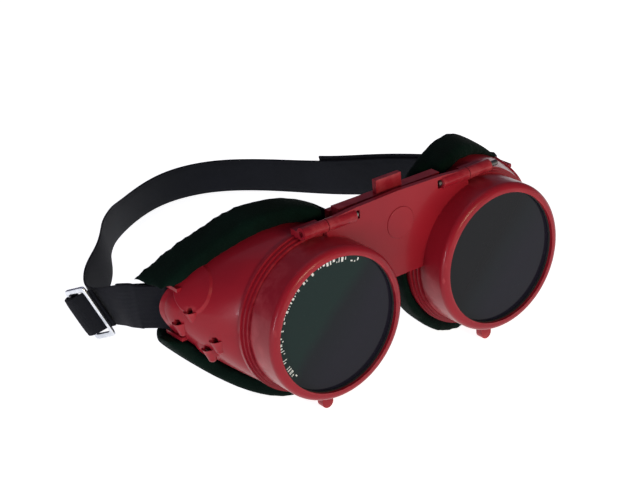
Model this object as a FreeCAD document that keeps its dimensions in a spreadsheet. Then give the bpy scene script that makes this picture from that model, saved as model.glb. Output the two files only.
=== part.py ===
import FreeCAD, Part
import math
import os

from FreeCAD import Placement, Rotation, Vector

# Welding goggles with a flip-up dark front, as a parametric FreeCAD document.
#
# Frame: +Z up, +X towards the wearer's left, +Y towards the wearer's face.  The origin is the middle
# of the face seat: the plane that the rear of both cushions touches, on the symmetry plane and at the
# height of the lens centres.  A "depth" is a distance behind the front lips' inner faces; depth_y()
# turns it into the frame's Y.

SIZES = {
    "face_depth": 53.0,           # from the lips' inner faces to the face seat
    "lens_centre": 35.2,          # half the distance between the lens centres
    "lens_radius": 25.0,          # standard 50 mm round lenses
    "lens_bore": 25.15,
    "lip_radius": 23.5,           # clear view inside every lip
    "lip_depth": 1.2,
    "gasket_thick": 0.8,
    "gasket_inner": 23.4,
    "dark_thick": 3.0,
    "clear_thick": 2.0,
    "retainer_thick": 2.0,
    "retainer_inner": 23.6,
    "retainer_gap": 5.0,
    "flip_radius": 26.5,
    "flip_length": 11.0,
    "flip_edge": 2.3,
    "plate_front": 9.2,           # depth of the bridge plate's front face
    "plate_half": 30.0,
    "plate_low": 2.5,
    "plate_high": 33.0,
    "boss_radius": 5.6,
    "boss_height": 21.5,
    "boss_rise": 0.22,
    "tongue_half": 2.2,
    "tongue_low": 34.4,
    "tongue_front": 8.2,
    "hinge_depth": 10.0,
    "hinge_height": 29.8,
    "barrel_radius": 2.15,
    "barrel_inner": 18.5,
    "barrel_outer": 39.8,
    "barrel_gap": 0.15,           # each side of the joint between two barrels
    "pin_radius": 1.0,
    "pin_running": 1.05,
    "pin_inner": 17.2,
    "pin_outer_left": 43.4,
    "pin_outer_right": 38.6,
    "collar_front": 11.3,
    "collar_step": 1.25,
    "collar_rise": 0.65,
    "collar_radius": 27.2,
    "collar_shoulder": 0.4,       # how far the last collar step stands out of the tapering wall
    "cup_back": 45.0,
    "cup_mid": 30.0,
    "cup_wall": 1.8,
    "rim_nose": 20.0,
    "rim_sweep": 22.0,
    "cushion_over": 6.2,          # how far the cushion stands outside the cup, above and below
    "cushion_temple": 5.0,        # and at the temple
    "cushion_nose": 3.0,
    "cushion_under": 3.0,         # how far it reaches inwards of the cup's outside
    "cushion_inward": 12.0,       # and at the temple, behind the strap bar
    "cushion_droop": 6.0,         # how far the left cushion's temple end sags
    "cushion_lap": 5.0,
    "cushion_thick": 8.8,
    "bridge_half": 21.5,
    "bridge_front": 14.1,
    "bridge_thick": 4.0,
    "bridge_high": 31.6,
    "bridge_low": 27.5,
    "stop_half": 5.3,
    "stop_high": 36.5,
    "stop_thick": 2.0,
    "lug_thick": 2.2,
    "rivet_x": 18.0,
    "rivet_z": 26.6,
    "rivet_radius": 1.5,
    "rivet_head": 2.4,
    "strap_wide": 15.5,
    "strap_thick": 1.2,
    "strap_height": 3.8,
    "bar_x": 71.2,
    "bar_depth": 43.4,
    "bar_radius": 0.9,
    "ear_thick": 1.3,
    "ear_gap": 0.5,               # between each edge of the strap and its ear
    "strap_gap": 0.12,            # between two layers of the strap
    "tail_rise": 1.5,             # how much higher the free end lies than the strap it is sewn to
    "tail_end_depth": 150.0,
    "buckle_long": 21.0,
    "buckle_short": 9.6,
    "buckle_bar": 1.4,
    "buckle_cheek": 2.0,
    "buckle_thick": 1.4,
}

doc = FreeCAD.newDocument("WeldingGoggles")
sheet = doc.addObject("Spreadsheet::Sheet", "Sizes")
for row, (alias, value) in enumerate(SIZES.items(), start=1):
    sheet.set("A%d" % row, alias)
    sheet.set("B%d" % row, str(value))
    sheet.setAlias("B%d" % row, alias)
doc.recompute()

RIGHT = -1                        # the wearer's right is on -X
LEFT = 1
SIDES = {"right": RIGHT, "left": LEFT}
AXIS_TURN = {
    "X": Rotation(Vector(0, 1, 0), 90),
    "Y": Rotation(Vector(1, 0, 0), -90),
    "Z": Rotation(),
}
NODES = []                        # every object that is written to parts/


def dim(alias):
    """A driving dimension, read from the sheet."""
    return float(getattr(sheet, alias))


def depth_y(depth):
    """The frame's Y of a depth behind the lips' inner faces."""
    return depth - dim("face_depth")


def bind(thing, **sizes):
    """Binds properties to expressions; in them, @word stands for the sheet's cell."""
    for prop, text in sizes.items():
        thing.setExpression(prop.replace("_", "."), text.replace("@", "Sizes."))
    return thing


def place(thing, turn, x="0", depth="0", z="0"):
    """Turns an object, then binds its place; Y is given as a depth."""
    thing.Placement = Placement(Vector(), turn)
    bind(thing, Placement_Base_x=x, Placement_Base_z=z)
    bind(thing, Placement_Base_y="(%s) - @face_depth" % depth)
    return thing


def cylinder(name, axis, radius, length, x="0", depth="0", z="0"):
    """A cylinder that starts at its place and runs along the axis named."""
    thing = doc.addObject("Part::Cylinder", name)
    bind(thing, Radius=radius, Height=length)
    return place(thing, AXIS_TURN[axis], x, depth, z)


def box(name, length, width, height, x="0", depth="0", z="0"):
    """A box whose place is its lowest corner."""
    thing = doc.addObject("Part::Box", name)
    bind(thing, Length=length, Width=width, Height=height)
    return place(thing, Rotation(), x, depth, z)


def cut(name, base, *tools):
    """The base with each tool taken away in turn."""
    for index, tool in enumerate(tools):
        step = doc.addObject("Part::Cut", "%s_%d" % (name, index))
        step.Base = base
        step.Tool = tool
        base = step
    return base


def fuse(name, *things):
    """One solid from several that overlap."""
    thing = doc.addObject("Part::MultiFuse", name)
    thing.Shapes = list(things)
    thing.Refine = True
    return thing


def feature(name, shape):
    """A feature whose shape is worked out with Part's own functions from the sheet's values."""
    thing = doc.addObject("Part::Feature", name)
    thing.Shape = shape
    thing.Placement = Placement()
    return thing


def node(label, thing):
    """Marks an object as one piece of the goggles."""
    thing.Label = label
    NODES.append(thing)
    return thing


# ---------------------------------------------------------------- lenses and what holds them
def lens(label, side, thick, depth):
    disc = cylinder(label, "Y", "@lens_radius", thick, "%d * @lens_centre" % side, depth)
    return node(label, disc)


def gasket(label, side, depth):
    x = "%d * @lens_centre" % side
    outer = cylinder(label + "_body", "Y", "@lens_radius", "@gasket_thick", x, depth)
    hole = cylinder(label + "_hole", "Y", "@gasket_inner", "@gasket_thick", x, depth)
    return node(label, cut(label, outer, hole))


def retainer(label, side, depth):
    """A split spring ring, open at the bottom, that holds a lens in its bore."""
    x = "%d * @lens_centre" % side
    outer = cylinder(label + "_body", "Y", "@lens_bore", "@retainer_thick", x, depth)
    hole = cylinder(label + "_hole", "Y", "@retainer_inner", "@retainer_thick", x, depth)
    split = box(label + "_split", "@retainer_gap", "@retainer_thick", "@lens_bore",
                x + " - @retainer_gap / 2", depth, "-@lens_bore")
    return node(label, cut(label, outer, hole, split))


def lens_stack(prefix, side_name, thick, start):
    """Gasket, lens and retainer, one behind the other."""
    side = SIDES[side_name]
    gasket("%s_lens_gasket_%s" % (prefix, side_name), side, start)
    lens("%s_lens_%s" % (prefix, side_name), side, thick, start + " + @gasket_thick")
    retainer("%s_lens_retainer_%s" % (prefix, side_name), side,
             "%s + @gasket_thick + %s" % (start, thick))


# ---------------------------------------------------------------- the flip-up front
def front_ring(side):
    """The ring's full body with its front edge rounded; the bores are cut from the whole front."""
    name = "flip_ring_%d" % (side + 1)
    body = cylinder(name, "Y", "@flip_radius", "@flip_length + @lip_depth",
                    "%d * @lens_centre" % side, "-@lip_depth")
    doc.recompute()
    rounded = doc.addObject("Part::Fillet", name + "_rounded")
    rounded.Base = body
    rounded.Edges = [(front_edge(body), dim("flip_edge"), dim("flip_edge"))]
    return rounded


def front_edge(thing):
    """The number of the circular edge that lies furthest forward."""
    edges = thing.Shape.Edges
    rank = [(edge.BoundBox.YMax, number + 1) for number, edge in enumerate(edges)
            if edge.Curve.TypeId == "Part::GeomCircle"]
    return min(rank)[1]


def bridge_plate():
    """The flat plate between the rings; its lower flanks are hidden inside them."""
    half = dim("plate_half")
    low = dim("plate_low")
    high = dim("plate_high")
    ring_side = dim("lens_centre") - dim("flip_radius") + 0.6
    shoulder = dim("barrel_inner")
    end_high = dim("hinge_height") + dim("barrel_radius") * 0.8
    outline = [(-ring_side, low), (ring_side, low), (half, dim("lip_radius")), (half, end_high),
               (shoulder, high - 0.5), (0, high), (-shoulder, high - 0.5), (-half, end_high),
               (-half, dim("lip_radius"))]
    sketch = doc.addObject("Sketcher::SketchObject", "bridge_plate_outline")
    sketch.Placement = Placement(Vector(), Rotation(Vector(1, 0, 0), 90))
    for start, end in zip(outline, outline[1:] + outline[:1]):
        sketch.addGeometry(Part.LineSegment(Vector(*start, 0), Vector(*end, 0)), False)
    plate = doc.addObject("Part::Extrusion", "bridge_plate")
    plate.Base = sketch
    plate.DirMode = "Custom"
    plate.Dir = Vector(0, 1, 0)
    plate.Solid = True
    bind(plate, LengthFwd="@flip_length - @plate_front")
    bind(plate, Placement_Base_y="@plate_front - @face_depth")
    return plate


def finger_tongue(side):
    """The rounded tongue under a ring that a finger lifts the front by."""
    name = "tongue_%d" % (side + 1)
    x = "%d * @lens_centre" % side
    length = "@flip_length - @tongue_front"
    stem = box(name + "_stem", "2 * @tongue_half", length, "@tongue_low - @flip_radius",
               x + " - @tongue_half", "@tongue_front", "@tongue_half - @tongue_low")
    tip = cylinder(name + "_tip", "Y", "@tongue_half", length, x, "@tongue_front",
                   "@tongue_half - @tongue_low")
    return [stem, tip]


def flip_front():
    rings = [front_ring(side) for side in SIDES.values()]
    boss = cylinder("bridge_boss", "Y", "@boss_radius", "@boss_rise + 0.4", "0",
                    "@plate_front - @boss_rise", "@boss_height")
    doc.recompute()
    boss_round = doc.addObject("Part::Fillet", "bridge_boss_rounded")
    boss_round.Base = boss
    boss_round.Edges = [(front_edge(boss), dim("boss_rise") * 0.7, dim("boss_rise") * 0.7)]
    barrels = []
    tongues = []
    cutters = []
    for side_name, side in SIDES.items():
        start = "@barrel_inner" if side == LEFT else "-(@plate_half - @barrel_gap)"
        length = "@plate_half - @barrel_gap - @barrel_inner"
        barrels.append(cylinder("front_barrel_" + side_name, "X", "@barrel_radius", length,
                                start, "@hinge_depth", "@hinge_height"))
        tongues += finger_tongue(side)
        bore_start = "@pin_inner - 0.3" if side == LEFT else "-@barrel_outer"
        cutters.append(cylinder("front_pin_bore_" + side_name, "X", "@pin_running",
                                "@barrel_outer - @pin_inner + 0.3", bore_start,
                                "@hinge_depth", "@hinge_height"))
        slot_start = "@pin_inner - 0.6" if side == LEFT else "-@barrel_inner"
        cutters.append(box("front_notch_" + side_name, "@barrel_inner - @pin_inner + 0.6",
                           "2 * @barrel_radius", "1.4 * @barrel_radius", slot_start,
                           "@hinge_depth - @barrel_radius",
                           "@hinge_height - 0.7 * @barrel_radius"))
        x = "%d * @lens_centre" % side
        cutters.append(cylinder("front_bore_" + side_name, "Y", "@lens_bore",
                                "@flip_length + 1", x, "0"))
        cutters.append(cylinder("front_view_" + side_name, "Y", "@lip_radius",
                                "@flip_length", x, "-@lip_depth - 1"))
    whole = fuse("flip_front_body", *rings, bridge_plate(), boss_round, *barrels, *tongues)
    return node("flip_front", cut("flip_front", whole, *cutters))


# ---------------------------------------------------------------- the eyecups
def cup_sections(over, nose=None, temple=None, droop=0.0):
    """Rows of centre x, half width, half height, temple taper, temple lift and depth, each grown."""
    nose = over if nose is None else nose
    temple = over if temple is None else temple
    collar = dim("collar_radius") + 2 * dim("collar_rise") - dim("collar_shoulder")
    front = dim("collar_front") + 3 * dim("collar_step")
    rows = [
        (dim("lens_centre"), collar, collar, 0.0, 0.0, front),
        (40.5, 31.8, 29.4, 0.30, 3.4, dim("cup_mid")),
        (43.2, 33.2, 29.6, 0.42, 4.8, dim("cup_back")),
        (45.6, 34.6, 29.8, 0.46, 5.4, dim("cup_back") + 20),
    ]
    shift = (temple - nose) / 2
    widen = (temple + nose) / 2
    slimmer = droop * 0.02        # a sagging end is a little slimmer too
    return [(x + shift, wide + widen, high + over, taper + slimmer, lift - droop, depth)
            for x, wide, high, taper, lift, depth in rows]


def egg_point(row, angle):
    """A point of an egg: an ellipse whose temple end is lower, and lifted a little."""
    x, wide, high, taper, lift, depth = row
    across = math.cos(angle)
    towards_temple = (across + math.sqrt(across ** 2 + 0.03)) / 2
    z = high * math.sin(angle) * (1 - taper * towards_temple) + lift * towards_temple ** 1.3
    return Vector(x + wide * across, depth_y(depth), z)


def egg_wire(row, count=24):
    """A closed smooth curve through the egg's points, in the section's plane."""
    points = [egg_point(row, 2 * math.pi * step / count) for step in range(count)]
    curve = Part.BSplineCurve()
    curve.interpolate(points, PeriodicFlag=True)
    return Part.Wire([curve.toShape()])


def cup_form(over, nose=None, temple=None, droop=0.0):
    """The closed tapering form of the cup on +X, grown outwards by over."""
    rows = cup_sections(over, nose, temple, droop)
    return Part.makeLoft([egg_wire(row) for row in rows], True, False)


def rim_depth(x):
    """How far back the rim lies, from the nose to the temple."""
    reach = max(0.0, (x - 9.5) / 66.5)
    return dim("rim_nose") + dim("rim_sweep") * reach ** 1.6


def rim_slab(front, back):
    """Everything between two curves parallel to the rim; front None starts ahead of the cup."""
    xs = [-6 + 12 * step for step in range(9)]
    points = [Vector(x, depth_y(rim_depth(x) + back), 0) for x in xs]
    curve = Part.BSplineCurve()
    curve.interpolate(points)
    edges = [curve.toShape()]
    if front is None:
        corners = [Vector(xs[-1], depth_y(0), 0), Vector(xs[0], depth_y(0), 0)]
        edges.append(Part.makeLine(points[-1], corners[0]))
        edges.append(Part.makeLine(corners[0], corners[1]))
        edges.append(Part.makeLine(corners[1], points[0]))
    else:
        ahead = [Vector(x, depth_y(rim_depth(x) + front), 0) for x in xs]
        other = Part.BSplineCurve()
        other.interpolate(ahead)
        edges.append(Part.makeLine(points[-1], ahead[-1]))
        edges.append(other.toShape())
        edges.append(Part.makeLine(ahead[0], points[0]))
    face = Part.Face(Part.Wire(Part.__sortEdges__(edges)))
    tall = 60
    face.translate(Vector(0, 0, -tall))
    return face.extrude(Vector(0, 0, 2 * tall))


def y_cylinder(radius, front, back, x=None, z=0.0):
    """A cylinder along Y between two depths, about a lens centre unless x is given."""
    centre = dim("lens_centre") if x is None else x
    return Part.makeCylinder(radius, back - front, Vector(centre, depth_y(front), z), Vector(0, 1, 0))


VENTS = [(29.5, 6.8), (34.5, 1.6), (22.5, -2.6), (27.3, -7.3)]     # depth and height of each mouth


def cup_wall_x(depth, z):
    """The x of the cup's outer temple wall, found along its blended section."""
    rows = cup_sections(0)
    for one, two in zip(rows, rows[1:]):
        if one[-1] <= depth <= two[-1]:
            share = (depth - one[-1]) / (two[-1] - one[-1])
            row = [a + (b - a) * share for a, b in zip(one, two)]
            angles = [math.radians(step) for step in range(-80, 81)]
            return min((abs(egg_point(row, angle).z - z), egg_point(row, angle).x)
                       for angle in angles)[1]
    raise ValueError("no section at this depth")


def vent_points():
    return [Vector(cup_wall_x(depth, z), depth_y(depth), z) for depth, z in VENTS]


VENT_OUT = Vector(0.86, -0.42, -0.28)     # square to the wall where the vents are


def vent_pads():
    """Low round swellings of the wall that the hoods stand on: the caps of four spheres."""
    swell = cup_form(0.8)
    radius = 10.0
    pads = []
    for point in vent_points():
        pads.append(swell.common(Part.makeSphere(radius, point - VENT_OUT * (radius - 0.75))))
    return pads


def vent_hoods():
    """Four scoops, open upwards, tapering down the wall."""
    hoods = []
    down = Vector(-0.14, -0.06, -1.0)
    for point in vent_points():
        top = point - VENT_OUT * 0.7
        hoods.append(Part.makeCone(2.8, 1.6, 4.0, top, down))
        hoods.append(Part.makeSphere(1.6, top + down * (4.0 / down.Length)))
    return hoods


def vent_holes():
    """A slanting hole in each mouth, through the wall into the cup."""
    holes = []
    for point in vent_points():
        mouth = point + VENT_OUT * 1.6 + Vector(0, 0, 1.5)
        holes.append(Part.makeCylinder(1.15, 9, mouth, Vector(-0.75, 0.2, -0.62)))
    return holes


def eyecup():
    """The moulded cup on +X: stepped collar, tapering wall, vents, hinge lug and strap ears."""
    front = dim("collar_front")
    step = dim("collar_step")
    solid = cup_form(0)
    pieces = vent_pads() + vent_hoods()
    for index in range(3):
        radius = dim("collar_radius") + dim("collar_rise") * index
        pieces.append(y_cylinder(radius, front + step * index, front + 3 * step))
    pieces.append(hinge_lug())
    solid = solid.fuse(pieces)
    solid = solid.common(rim_slab(None, 0))
    hollow = Part.makeLoft([egg_wire(row) for row in hollow_sections()], True, False)
    bore_back = hollow_sections()[0][-1]
    solid = solid.cut([
        hollow,
        y_cylinder(dim("lens_bore"), front + dim("lip_depth"), bore_back + 0.2),
        y_cylinder(dim("lip_radius"), front - 1, bore_back),
        Part.makeCylinder(dim("pin_radius"), 20, hinge_point(dim("plate_half") - 2), Vector(1, 0, 0)),
    ] + vent_holes())
    solid = solid.fuse(strap_ears() + [bridge_lug()])
    solid = solid.cut(rivet_bore())
    return solid


def hollow_sections():
    """The inside of the cup, from just behind the clear lens's retainer."""
    wall = dim("cup_wall")
    rows = cup_sections(-wall)
    start = dim("collar_front") + dim("lip_depth") + dim("gasket_thick") + dim("clear_thick")
    start += dim("retainer_thick") + 0.2
    radius = dim("lens_bore") + 0.9
    return [(rows[0][0], radius, radius, 0.0, 0.0, start)] + rows[1:]


def cup_block():
    """The cup's whole outside, collar included, as one plug to cut its neighbours with."""
    collar = dim("collar_radius") + 2 * dim("collar_rise") + 0.03
    front = dim("collar_front")
    return cup_form(0.03).fuse(y_cylinder(collar, front, front + 3 * dim("collar_step") + 0.5))


def hinge_point(x):
    return Vector(x, depth_y(dim("hinge_depth")), dim("hinge_height"))


def hinge_lug():
    """The cup's own hinge barrel and the web that carries it."""
    start = dim("plate_half") + dim("barrel_gap")
    length = dim("barrel_outer") - start
    radius = dim("barrel_radius")
    barrel = Part.makeCylinder(radius, length, hinge_point(start), Vector(1, 0, 0))
    floor = dim("flip_radius") + 1.3
    height = dim("hinge_height") + 0.4 - floor
    web = Part.makeBox(length, 5.5, height,
                       Vector(start, depth_y(dim("hinge_depth")), floor))
    return barrel.fuse(web)


def strap_ears():
    """Two ears behind the temple rim that hold the strap bar between them."""
    bar = Vector(dim("bar_x"), depth_y(dim("bar_depth")), 0)
    half = dim("strap_wide") / 2 + dim("ear_gap")
    ears = []
    for low in (dim("strap_height") - half - dim("ear_thick"), dim("strap_height") + half):
        boss = Part.makeCylinder(1.7, dim("ear_thick"), bar + Vector(0, 0, low))
        web = Part.makeBox(4.6, 9.0, dim("ear_thick"), Vector(bar.x - 3.0, bar.y - 8.8, low))
        hole = Part.makeCylinder(dim("bar_radius"), dim("ear_thick"), bar + Vector(0, 0, low))
        ears.append(boss.fuse(web).cut(hole))
    return ears


def bridge_lug():
    """The cup's flange behind the nose bridge, which the bridge is riveted to."""
    back = dim("bridge_front") + dim("bridge_thick")
    lug = Part.makeBox(8.5, dim("lug_thick"), 10.5,
                       Vector(dim("bridge_half") - 7.5, depth_y(back), 19.5))
    return lug.cut(cup_form(-dim("cup_wall") / 2))


def rivet_bore():
    start = Vector(dim("rivet_x"), depth_y(dim("bridge_front") - 1), dim("rivet_z"))
    return Part.makeCylinder(dim("rivet_radius"), dim("bridge_thick") + dim("lug_thick") + 2, start,
                             Vector(0, 1, 0))


def mirrored(shape):
    """The same piece on -X."""
    return shape.mirror(Vector(), Vector(1, 0, 0))


def both_sides(name, shape):
    """The piece made for +X is the wearer's left; its mirror image is the right."""
    node(name + "_left", feature(name + "_left", shape))
    node(name + "_right", feature(name + "_right", mirrored(shape)))


# ---------------------------------------------------------------- cushion and vent baffle
def face_cushion(cup, droop):
    """A thick ring of padding along the rim, with a pocket for the strap and its bar at the temple."""
    outer = cup_form(dim("cushion_over"), dim("cushion_nose"), dim("cushion_temple"), droop)
    under = -dim("cushion_under")
    ring = outer.cut(cup_form(under, under, -dim("cushion_inward")))
    ring = ring.common(rim_slab(-dim("cushion_lap"), dim("cushion_thick")))
    ring = ring.cut(cup_form(0.05).common(rim_slab(None, 0.05)))
    joint = Part.makeBox(dim("bridge_half") + 3, 12, 30, Vector(0, depth_y(12), 17))
    middle = dim("strap_height")
    strap_half = dim("strap_wide") / 2 + 1.1
    ear_half = dim("strap_wide") / 2 + dim("ear_gap") + dim("ear_thick") + 0.4
    inner = dim("bar_x") - 3.4
    behind = dim("bar_depth") + 3.6
    pocket = Part.makeBox(8, behind - 36, 2 * ear_half,
                          Vector(inner, depth_y(36), middle - ear_half))
    way_out = Part.makeBox(20, behind - 28, 2 * strap_half,
                           Vector(inner, depth_y(28), middle - strap_half))
    beside = Part.makeBox(20, 40, 2 * strap_half,
                          Vector(dim("bar_x") - 2.6, depth_y(28), middle - strap_half))
    sinking = Part.makeBox(20, 30, strap_half + 4, Vector(75, depth_y(44), middle - strap_half - 4))
    floor = Part.makeBox(200, 200, 20, Vector(-50, -100, -20 - dim("tongue_low")))
    for tool in (joint, pocket, way_out, beside, sinking, floor, cup):
        ring = ring.cut(tool)
    return ring


def vent_baffle():
    """A thin disc on three legs behind the vents, so that no light comes straight in."""
    centre = Vector(0, 0, 0)
    for point in vent_points():
        centre += point * (1 / len(VENTS))
    out = Vector(VENT_OUT)
    out.normalize()
    face = centre - out * (dim("cup_wall") + 3.6)
    disc = Part.makeCylinder(9.0, 1.0, face, out)
    across = Vector(0, 0, 1).cross(out)
    across.normalize()
    up = out.cross(across)
    legs = []
    for angle in (90, 210, 330):
        way = across * math.cos(math.radians(angle)) + up * math.sin(math.radians(angle))
        legs.append(Part.makeCylinder(1.1, 9, face + way * 7.4, out))
    hollow = Part.makeLoft([egg_wire(row) for row in hollow_sections()], True, False)
    return disc.fuse(legs).common(hollow).common(rim_slab(None, -0.6))


# ---------------------------------------------------------------- hinge pins, nose bridge, rivets
def hinge_pin(side_name):
    side = SIDES[side_name]
    outer = "@pin_outer_" + side_name
    start = "@pin_inner" if side == LEFT else "-" + outer
    label = "hinge_pin_" + side_name
    pin = cylinder(label, "X", "@pin_radius", outer + " - @pin_inner", start,
                   "@hinge_depth", "@hinge_height")
    return node(label, pin)


def nose_bridge():
    """The fixed bar that joins the cups, with the stop tab in its middle."""
    half = dim("bridge_half")
    thick = dim("bridge_thick")
    front = depth_y(dim("bridge_front"))
    bar = Part.makeBox(2 * half, thick, dim("bridge_high") - dim("bridge_low"),
                       Vector(-half, front, dim("bridge_low")))
    ends = []
    for left in (-half, half - 10):
        ends.append(Part.makeBox(10, thick, dim("bridge_low") - 18, Vector(left, front, 18)))
    stop = Part.makeBox(2 * dim("stop_half"), dim("stop_thick"), dim("stop_high") - dim("bridge_low"),
                        Vector(-dim("stop_half"), front + 0.3, dim("bridge_low")))
    shape = bar.fuse(ends + [stop])
    for block in (cup_block(), mirrored(cup_block())):
        shape = shape.cut(block)
    bores = [rivet_bore(), mirrored(rivet_bore())]
    return shape.cut(bores).removeSplitter()


def nose_bridge_rivet():
    """A headed rivet, closed behind the cup's flange."""
    start = Vector(dim("rivet_x"), depth_y(dim("bridge_front")), dim("rivet_z"))
    length = dim("bridge_thick") + dim("lug_thick")
    shank = Part.makeCylinder(dim("rivet_radius"), length, start, Vector(0, 1, 0))
    heads = [Part.makeCylinder(dim("rivet_head"), 0.7, start + Vector(0, -0.7, 0), Vector(0, 1, 0)),
             Part.makeCylinder(dim("rivet_head"), 0.9, start + Vector(0, length, 0), Vector(0, 1, 0))]
    return shank.fuse(heads).removeSplitter()


# ---------------------------------------------------------------- strap, its bars and its buckle
# The strap's centre line from the right temple round the back of the head to the left temple:
# x, depth and height, then the lean of its upper edge along x and y.
STRAP_ROUTE = [
    (-78.4, 49.6, 3.6, 0, 0), (-79.4, 57, 1.5, -0.1, 0.08), (-79.0, 66, -2, -0.3, 0.2),
    (-78.8, 76, -5, -0.37, 0.27), (-74.6, 87, -6.5, -0.38, 0.2), (-67.5, 98, -7.5, -0.36, 0.1),
    (-57, 111, -8.8, -0.3, 0), (-47, 126, -11, -0.2, -0.05), (-38, 141, -14.5, -0.12, -0.08),
    (-28, 155, -18, -0.06, -0.12), (-14, 172, -23.5, 0.0, -0.16), (2, 185, -26.2, 0.0, -0.18),
    (20, 191.5, -26.7, 0, -0.18), (38, 188.5, -26.7, -0.05, -0.17), (53, 177, -26.6, -0.1, -0.13),
    (64, 160, -25.6, -0.12, -0.08), (71, 140, -22.5, -0.1, -0.04), (75.5, 118, -17, -0.06, 0),
    (78, 96, -11.5, -0.03, 0), (79, 74, -5.5, 0, 0), (78.3, 59, 0.5, 0, 0), (77.4, 50.5, 3.4, 0, 0),
]
BUCKLE_PLACE = Vector(-84.1, 74.0, -5.5)
BUCKLE_UP = Vector(-0.35, 0.26, 0.9)
BUCKLE_BACK = Vector(-0.31, 0.87, -0.37)


def frame_point(x, depth, z):
    return Vector(x, depth_y(depth), z)


def strap_section(point, along, up, wide):
    """A rectangular wire across the strap, square to its run and in line with its upper edge."""
    up = Vector(up)
    along = Vector(along)
    along.normalize()
    up = up - along * up.dot(along)
    up.normalize()
    side = along.cross(up) * (dim("strap_thick") / 2)
    up = up * (wide / 2)
    corners = [point + up + side, point + up - side, point - up - side, point - up + side]
    return Part.makePolygon(corners + corners[:1])


def ribbon(stations):
    """A flat strap through stations of (point, run, upper edge)."""
    wires = [strap_section(*station, dim("strap_wide")) for station in stations]
    return Part.makeLoft(wires, True, True)


def smooth_curve(points):
    curve = Part.BSplineCurve()
    curve.interpolate(points)
    return curve


def route_stations(per_run=3):
    """Evenly spaced stations along the strap's centre line, with its lean blended between points."""
    points = [frame_point(*row[:3]) for row in STRAP_ROUTE]
    leans = [Vector(row[3], row[4], 1) for row in STRAP_ROUTE]
    curve = smooth_curve(points)
    knots = curve.getKnots()
    stations = []
    for index in range(len(knots) - 1):
        for step in range(per_run):
            share = step / per_run
            value = knots[index] + (knots[index + 1] - knots[index]) * share
            lean = leans[index] + (leans[index + 1] - leans[index]) * share
            stations.append((curve.value(value), curve.tangent(value)[0], lean))
    last = knots[-1]
    stations.append((curve.value(last), curve.tangent(last)[0], leans[-1]))
    return stations


def turn_about_bar(side, steps=10):
    """Stations from a strap bar's inner side, round its front, to its outer side."""
    reach = dim("bar_radius") + dim("strap_thick") / 2 + 0.1
    stations = []
    for step in range(steps + 1):
        angle = math.radians(135 + 200 * step / steps)
        across = Vector(side * math.cos(angle), math.sin(angle), 0)
        way = Vector(-side * math.sin(angle), math.cos(angle), 0)
        centre = frame_point(side * dim("bar_x"), dim("bar_depth"), dim("strap_height"))
        stations.append((centre + across * reach, way, Vector(0, 0, 1)))
    return stations


def inward_of(along, up):
    inward = along.cross(up)
    inward.normalize()
    return inward


def head_strap():
    """One length of elastic: a loop at the right bar, round the head, and doubled back at the left."""
    run = route_stations()
    layer = dim("strap_thick") + dim("strap_gap")
    hem = [(point + inward_of(along, up) * layer, along * -1, up)
           for point, along, up in reversed(run[1:5])]
    tail = []
    for point, along, up in reversed(run):
        if point.x < 0 or point.y > depth_y(dim("tail_end_depth")):
            continue
        rise = min(1.0, max(0.0, (point.y - depth_y(dim("bar_depth"))) / 40))
        lift = Vector(0, 0, dim("tail_rise") * rise)
        tail.append((point - inward_of(along, up) * layer + lift, along * -1, up))
    return ribbon(hem + turn_about_bar(RIGHT) + run + turn_about_bar(LEFT) + tail)


def buckle_axes():
    """Unit vectors along the buckle's bars, rearwards across them, and out of its plane."""
    up = Vector(BUCKLE_UP)
    up.normalize()
    back = Vector(BUCKLE_BACK)
    back = back - up * back.dot(up)
    back.normalize()
    return up, back, back.cross(up) * -1


def threaded_end():
    """The strap's end: under the buckle's front bar, over its rear bar and tucked in behind."""
    up, back, out = buckle_axes()
    centre = frame_point(*BUCKLE_PLACE)
    bar = (dim("buckle_short") - dim("buckle_bar")) / 2
    reach = (dim("buckle_thick") + dim("strap_thick")) / 2 + 0.38
    wrap = bar + dim("buckle_bar") / 2 + dim("strap_thick") / 2 + 0.38
    line = [(-bar - 1.2, -reach - 0.05), (-bar, -reach), (-bar + 1.2, -reach + 0.05), (0, 0),
            (bar - 1.2, reach - 0.05), (bar + 0.1, reach), (bar + 1.3, 1.35), (wrap, 0),
            (bar + 1.3, -1.35), (bar + 0.1, -reach), (bar - 2.0, -reach - 0.05)]
    curve = smooth_curve([centre + back * along + out * height for along, height in line])
    span = curve.LastParameter - curve.FirstParameter
    stations = []
    for step in range(31):
        value = curve.FirstParameter + span * step / 30
        stations.append((curve.value(value), curve.tangent(value)[0], up))
    return ribbon(stations)


def strap_buckle():
    """A flat rectangular slide with one window."""
    name = "strap_buckle"
    outer = doc.addObject("Part::Box", name + "_outer")
    bind(outer, Length="@buckle_short", Width="@buckle_thick", Height="@buckle_long")
    window = doc.addObject("Part::Box", name + "_window")
    bind(window, Length="@buckle_short - 2 * @buckle_bar", Width="3 * @buckle_thick",
         Height="@buckle_long - 2 * @buckle_cheek")
    bind(window, Placement_Base_x="@buckle_bar", Placement_Base_y="-@buckle_thick",
         Placement_Base_z="@buckle_cheek")
    frame = cut(name, outer, window)
    up, back, out = buckle_axes()
    turn = Rotation(back, out, up, "XZY")
    middle = Vector(dim("buckle_short"), dim("buckle_thick"), dim("buckle_long")) * 0.5
    place_at = frame_point(*BUCKLE_PLACE) - turn.multVec(middle)
    frame.Placement = Placement(place_at, turn)
    return node(name, frame)


def strap_bar(side_name):
    """The steel bar between a cup's two ears."""
    half = "(@strap_wide / 2 + @ear_gap + @ear_thick)"
    label = "strap_bar_" + side_name
    bar = cylinder(label, "Z", "@bar_radius", "2 * " + half, "%d * @bar_x" % SIDES[side_name],
                   "@bar_depth", "@strap_height - " + half)
    return node(label, bar)


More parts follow.
